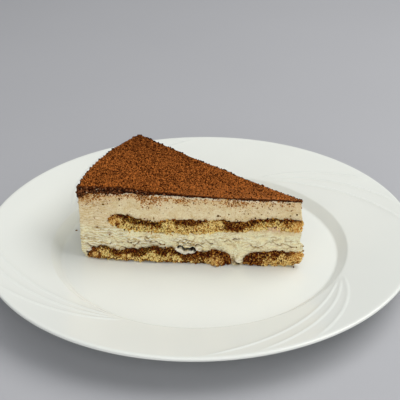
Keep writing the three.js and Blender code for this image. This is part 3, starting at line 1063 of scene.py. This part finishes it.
def strew(name, look, piece, chance, material, shade=lambda spots, tones: tones):
    spots, normals, _ = pickSpots(piece, look["count"], chance, look["seed"])
    tones = shade(spots, tonesOf(look, len(spots), *look["tones"]))
    dress(scatter(name, look, sitOn(look, spots, normals, look["proud"]), tones), material, "cocoa")


def backGap(at):  # how far inside the hollowed back cut a spot lies
    return behindBackCut(at) - through(cutShape["back"], radiusOf(at))


def rimGap(at):
    return wedge["radius"] + cocoaLook["rimStands"] - radiusOf(at)


powderGrains = {
    "count": 9000, "smallest": 0.4, "largest": 1.0, "seed": 71,
    "proud": 0.12,  # how far each grain sits out of the surface, as a share of its size
    "tones": (0.0, 1.0),
}


def onTopFace(at, way):
    edge = np.minimum(np.minimum(at[:, 1], backGap(at)), rimGap(at))
    return (way[:, 2] > 0.6) * ease(0.5, 1.4, edge)


def powderTones(spots, tones):  # darker towards the back
    return (0.02 + ease(0.2, 0.8, tones) * 0.96) * (1.0 - 0.3 * ease(28.0, 62.0, toWedge(spots)[:, 1]))


strew("cocoaPowder", powderGrains, cocoa, onTopFace, powderMaterial, powderTones)

edgeClumps = {"count": 520, "smallest": 0.4, "largest": 1.4, "seed": 72, "proud": 0.1, "tones": (0.0, 0.45)}


def nearTopEdge(at, way):  # along the back cut and round the rim, where the damp cocoa is lumpy
    back = ease(1.4, 0.3, np.abs(backGap(at)))
    rim = ease(1.2, 0.3, np.abs(rimGap(at)))
    return np.maximum(back, 0.15 * rim) * (at[:, 2] > 42.5)


strew("edgeClumps", edgeClumps, cocoa, nearTopEdge, clumpMaterial)

bandClumps = {"count": 1700, "smallest": 0.5, "largest": 1.5, "seed": 73, "proud": 0.1, "tones": (0.0, 1.0)}


def onBand(at, way):  # the dark side of the cocoa layer
    return ease(0.45, 0.2, np.abs(way[:, 2])) * (0.35 + ease(75.0, 100.0, at[:, 0]))


strew("bandClumps", bandClumps, cocoa, onBand, clumpMaterial, lambda spots, tones: tones ** 1.4)

dust = {"count": 2000, "smallest": 0.35, "largest": 1.0, "seed": 74, "proud": 0.0, "tones": (0.0, 1.0)}


def belowCocoa(at, way):  # dust dragged down over the cream by the knife
    look = creamLook
    below = np.maximum(through(look["top"], at[:, 0]) - at[:, 2], 0.0)
    share = np.exp(-below / through(look["smearReach"], at[:, 0]))
    share *= 0.3 + through(look["smearStrength"], at[:, 0])
    return (np.abs(way[:, 2]) < 0.5) * (share + 0.004)


strew("cocoaDust", dust, upperCream, belowCocoa, dustMaterial)

specks = {
    "smallest": 1.0,
    "largest": 1.6,
    "seed": 78,
    "onPlate": (-76.5, 24.2),
    "places": [  # along the front cut, and height
        (3, 13.6), (-0.7, 13.8), (-0.8, 11.1), (3.4, 34.8), (7, 33.9), (23.6, 33.7), (42.3, 32.9),
        (7.8, 41.5), (115.1, 35.8), (120, 20.1), (105.4, 39.3), (112.4, 15.7), (48.2, 31.5), (62.2, 39.4),
        (37.4, 40.9), (37.0, 41.3), (85.7, 28), (80.2, 10.9),
    ],
}


def onFrontCut(pieces, places):  # the spot on the pieces' front that is nearest to each place
    surface = np.concatenate([toWedge(readPlaces(piece)) for piece in pieces])
    surface = surface[surface[:, 1] < 1.0]
    depth = surface[:, 1] * 0.1
    nearest = [np.argmin(np.hypot(surface[:, 0] - a, surface[:, 2] - h) + depth) for a, h in places]
    return fromWedge(surface[nearest])


spots = np.concatenate([onFrontCut(creams, specks["places"]), [[*specks["onPlate"], plateFloor + 0.1]]])
dress(scatter("darkSpecks", specks, spots, tonesOf(specks, len(spots), 0.0, 0.8)), speckMaterial, "cocoa")

crumbs = {"count": (3700, 900, 4100), "fallen": 16, "smallest": 0.5, "largest": 1.25, "seed": 75}
dragged = {"count": 500, "shares": (0.45, 0.1, 0.45), "spread": 0.7, "seed": 79}  # on to the cream


def onCut(at, way):
    return ease(0.6, 0.3, np.abs(way[:, 2]))


spotLists = []
toneLists = []
dice = np.random.default_rng(crumbs["seed"])
for sponge, count in zip(sponges, crumbs["count"]):
    spots, normals, corners = pickSpots(sponge, count, onCut, crumbs["seed"] + count)
    spotLists.append(spots + normals * 0.05)
    soaked, toasted = (readMark(sponge, mark)[corners] for mark in ("soak", "crust"))
    spread = 0.38 - 0.13 * soaked - 0.18 * toasted
    toneLists.append(soaked * 0.76 + 0.12 - 0.1 * toasted + spread * dice.normal(0.0, 1.0, count))
fallen = np.stack([
    dice.uniform(4.0, 126.0, crumbs["fallen"]),
    -0.3 - 2.4 * dice.random(crumbs["fallen"]) ** 3,
    np.full(crumbs["fallen"], 0.1),
], axis=1)
spotLists.append(fromWedge(fallen))
toneLists.append(dice.uniform(0.0, 0.8, crumbs["fallen"]))
for sponge, share in zip(sponges, dragged["shares"]):
    count = int(dragged["count"] * share)
    spots, _, corners = pickSpots(sponge, count, lambda at, way: (at[:, 1] < 1.0) * 1.0, dragged["seed"])
    places = toWedge(spots)[:, ::2] + dice.normal(0.0, dragged["spread"], (count, 2))
    spotLists.append(onFrontCut(creams, places))
    toneLists.append(readMark(sponge, "soak")[corners] * 0.6 + dice.normal(0.15, 0.2, count))
crumbPiece = scatter("spongeCrumbs", crumbs, np.concatenate(spotLists), np.concatenate(toneLists))
dress(crumbPiece, crumbFinish(), "soaked_sponge")

bits = {
    "onBand": 60,
    "onSponge": 45,
    "onPatch": 150,
    "smallest": 0.4,
    "largest": 1.2,
    "seed": 76,
    "places": [  # of cream dragged up on to the band
        (118.1, 45.5), (117.6, 45.7), (124.1, 43.8), (119.8, 43.0), (120.3, 43.4), (110.3, 43.8),
        (109.8, 43.8), (114.6, 45.3), (116.3, 46.0), (91.4, 44.1), (94.9, 44.1),
    ],
    # along and height, of the cream dragged down over the middle sponge
    "patch": ((12.5, 19.5), (22.4, 25.8)),
}


def onPatch(at, way):
    inside = [(at[:, axis] > low) & (at[:, axis] < high) for axis, (low, high) in zip((0, 2), bits["patch"])]
    return (at[:, 1] < 0.8) * inside[0] * inside[1] * 1.0


spotLists = [onFrontCut([cocoa], bits["places"])]
spotLists.append(pickSpots(cocoa, bits["onBand"], lambda at, way: onBand(at, way) * (at[:, 0] > 70), 76)[0])
spotLists.append(pickSpots(sponges[2], bits["onPatch"], onPatch, 80)[0])
for sponge in sponges:
    spotLists.append(pickSpots(sponge, bits["onSponge"] // len(sponges), onCut, 77)[0])
tones = tonesOf(bits, sum(len(spots) for spots in spotLists), 0.0, 0.75)
first = len(spotLists[0]) + len(spotLists[1])
palest = slice(first, first + bits["onPatch"])
tones[palest] = 0.8 + 0.26 * tones[palest]
dress(scatter("creamBits", bits, np.concatenate(spotLists), tones), bitMaterial, "cream")
print("small things scattered")


# plate

plateLook = {
    "radius": 127.5,
    "floor": plateFloor,
    "floorRadius": 82.3,
    "lipRadius": 88.2,
    "lipRise": 5.4,
    "rimRise": 15.5,
    "wall": 4.1,
    "edge": 2.8,
    "footInner": 77.0,
    "footOuter": 80.5,
    "footHeight": 1.8,
    "segments": 640,
    "rimSteps": 64,
    "foldHeight": 0.6,
    "foldDrop": 0.5,  # each fold falls off this fast on its outer side
    "foldBack": 2.4,  # and rises slowly behind it
    "groups": 4,
    "ridges": [(-28.0, 63.0, 1.3), (-27.5, 50.5, 1.0), (-26.5, 36.5, 0.9)],  # start, sweep, bend
}


def bent(start, corner, end, steps):  # a rounded corner
    shares = [i / steps for i in range(steps + 1)]
    return [
        tuple((1 - t) ** 2 * a + 2 * t * (1 - t) * b + t * t * c for a, b, c in zip(start, corner, end))
        for t in shares
    ]


def plateOutline():
    look = plateLook
    lip = look["floor"] + look["lipRise"]
    rim = look["floor"] + look["rimRise"]
    under = rim - look["edge"]
    outline = [(0.0, look["footHeight"]), (40.0, look["footHeight"])]
    foot = look["footInner"]
    outline += bent((foot - 2.5, look["footHeight"]), (foot - 0.3, look["footHeight"]), (foot + 0.3, 0.0), 6)
    outline += [(look["footOuter"] - 0.4, 0.0)]
    outline += bent((look["footOuter"], 0.3), (look["footOuter"] + 1.0, lip - look["wall"] - 3.2),
                    (look["footOuter"] + 6.5, lip - look["wall"] - 0.9), 8)
    outline += [(105.0, under - 6.6)]
    outline += bent((look["radius"] - 3.0, under - 0.3), (look["radius"], under + 0.2),
                    (look["radius"], rim - look["edge"] / 2), 6)
    outline += bent((look["radius"], rim - look["edge"] / 2), (look["radius"], rim + 0.1),
                    (look["radius"] - 2.4, rim - 0.5), 6)[1:]
    inner = (look["lipRadius"] + 0.7, lip + 0.18)
    outer = (look["radius"] - 2.4, rim - 0.5)
    steps = look["rimSteps"]
    outline += [tuple(o + (i - o) * k / steps for o, i in zip(outer, inner)) for k in range(1, steps)]
    outline += bent(inner, (look["lipRadius"], lip), (look["lipRadius"] - 0.6, lip - 0.55), 6)
    outline += bent((look["floorRadius"] + 0.85, look["floor"] + 0.75), (look["floorRadius"], look["floor"]),
                    (look["floorRadius"] - 1.4, look["floor"]), 6)
    outline += [(70.0, look["floor"]), (45.0, look["floor"]), (20.0, look["floor"]), (0.0, look["floor"])]
    return outline


def ridgeLine(start, sweep, bend, group):
    look = plateLook
    share = np.linspace(0.0, 1.0, 160)
    reach = look["lipRadius"] + 1.0 + (look["radius"] - look["lipRadius"] - 3.0) * share**bend
    turn = np.radians(start - sweep * share + 360.0 / look["groups"] * group)
    return np.stack([reach * np.cos(turn), reach * np.sin(turn)], axis=1), share


def makePlate():
    look = plateLook
    outline = plateOutline()
    mesh = bpy.data.meshes.new("servingPlate")
    edges = [(i, i + 1) for i in range(len(outline) - 1)]
    mesh.from_pydata([(r * mm, 0.0, z * mm) for r, z in outline], edges, [])
    plate = bpy.data.objects.new("servingPlate", mesh)
    bpy.context.scene.collection.objects.link(plate)

    def turn():
        bpy.ops.mesh.spin(steps=look["segments"], angle=math.tau, center=(0, 0, 0), axis=(0, 0, 1))
        bpy.ops.mesh.select_all(action="SELECT")
        bpy.ops.mesh.remove_doubles(threshold=0.02 * mm)
        bpy.ops.mesh.normals_make_consistent(inside=False)

    inEditMode(plate, turn)
    raiseFolds(plate)
    return plate


def raiseFolds(plate):  # low swept folds, each with one sharp side
    look = plateLook
    places = readPlaces(plate)
    radius = np.hypot(places[:, 0], places[:, 1])
    onTop = (radius > look["lipRadius"] - 1.0) & (readNormals(plate)[:, 2] > 0.5)
    spots = places[onTop, :2]
    rise = np.zeros(len(spots))
    for group in range(look["groups"]):
        for start, sweep, bend in look["ridges"]:
            line, share = ridgeLine(start, sweep, bend, group)
            rise = np.maximum(rise, foldHeight(spots, line, share))
    places[onTop, 2] += rise * look["foldHeight"]
    writePlaces(plate, places)


def foldHeight(spots, line, share):
    look = plateLook
    nearest = np.full(len(spots), 1e3)
    rise = np.zeros(len(spots))
    for (x0, y0), (x1, y1), place in zip(line, line[1:], share):
        near = np.abs(spots[:, 0] - x0) + np.abs(spots[:, 1] - y0) < 4.0 * look["foldBack"]
        if not near.any():
            continue
        gap = distanceToLine(spots[near, 0], spots[near, 1], [(x0, y0), (x1, y1)])
        outer = (spots[near, 0] - x0) * (y1 - y0) - (spots[near, 1] - y0) * (x1 - x0) < 0.0
        fade = float(ease(0.0, 0.12, place) * ease(1.0, 0.85, place))
        slope = np.where(outer, ease(look["foldDrop"], 0.0, gap), np.exp(-gap / look["foldBack"] * 1.6))
        closer = gap < nearest[near]
        chosen = np.flatnonzero(near)[closer]
        nearest[chosen] = gap[closer]
        rise[chosen] = (slope * fade)[closer]
    return rise


plate = makePlate()
dress(plate, porcelainFinish(), "porcelain", "plate")
print("servingPlate made,", len(plate.data.polygons), "faces")


# studio

studio = {
    "floorColour": (186, 187, 191),
    "floorShade": (180, 181, 185),
    "cameraHeight": 28.57,  # degrees above the table
    "cameraDistance": 656.5,
    "cameraTarget": (0.85, 61.35, 6.5),
    "cameraRoll": -0.978,
    "lens": 90.0,  # on a 36 mm sensor
    "roomColour": (0.95, 0.97, 1.0, 1.0),
    "roomStrength": 0.25,
}
lamps = {  # in metres and watts
    "window": {
        "place": (0.734, 0.129, 1.095), "size": (1.5, 0.8), "power": 11.7, "colour": (1.0, 0.99, 0.97),
    },
    "ceiling": {
        "place": (0.0, 0.0, 1.33), "size": (1.0, 1.0), "power": 2.2, "colour": (1.0, 1.0, 1.0),
    },
    "roomInFront": {
        "place": (-0.05, -1.177, 0.579), "size": (1.2, 1.2), "power": 6.1, "colour": (1.0, 0.99, 0.98),
    },
}


def makeFloor():
    bpy.ops.mesh.primitive_plane_add(size=6.0, location=(0, 0, 0))
    floor = bpy.context.active_object
    floor.name = "table"
    cloth = Finish("table", Roughness=0.75)
    light, shaded = linear(*studio["floorColour"]), linear(*studio["floorShade"])
    cloth.feed("Base Color", cloth.mix(cloth.noise(220.0), light, shaded))
    floor.data.materials.append(cloth.material)


def addLamp(name, place, size, power, colour):  # aimed at the slice
    lamp = bpy.data.lights.new(name, "AREA")
    lamp.shape = "ELLIPSE"
    lamp.size, lamp.size_y = size
    lamp.energy = power
    lamp.color = colour
    holder = bpy.data.objects.new(name, lamp)
    bpy.context.scene.collection.objects.link(holder)
    holder.location = place
    aim = Vector((0.0, 0.0, 0.03)) - Vector(place)
    holder.rotation_euler = aim.to_track_quat("-Z", "Y").to_euler()


def makeCamera():
    tilt = math.radians(studio["cameraHeight"])
    back = Vector((0.0, -math.cos(tilt), math.sin(tilt)))
    lens = bpy.data.cameras.new("camera")
    lens.lens = studio["lens"]
    lens.sensor_width = 36.0
    lens.clip_start = 0.01
    camera = bpy.data.objects.new("camera", lens)
    bpy.context.scene.collection.objects.link(camera)
    place = (Vector(studio["cameraTarget"]) + back * studio["cameraDistance"]) * mm
    aim = Matrix.Rotation(math.radians(90.0 - studio["cameraHeight"]), 4, "X")
    roll = Matrix.Rotation(math.radians(studio["cameraRoll"]), 4, "Z")
    camera.matrix_world = Matrix.Translation(place) @ aim @ roll
    bpy.context.scene.camera = camera


makeFloor()
for name, lamp in lamps.items():
    addLamp(name, **lamp)
makeCamera()
scene = bpy.context.scene
scene.world = bpy.data.worlds.new("room")
scene.world.use_nodes = True
room = scene.world.node_tree.nodes["Background"]
room.inputs["Color"].default_value = studio["roomColour"]
room.inputs["Strength"].default_value = studio["roomStrength"]
scene.view_settings.view_transform = "Standard"
print("studio made")
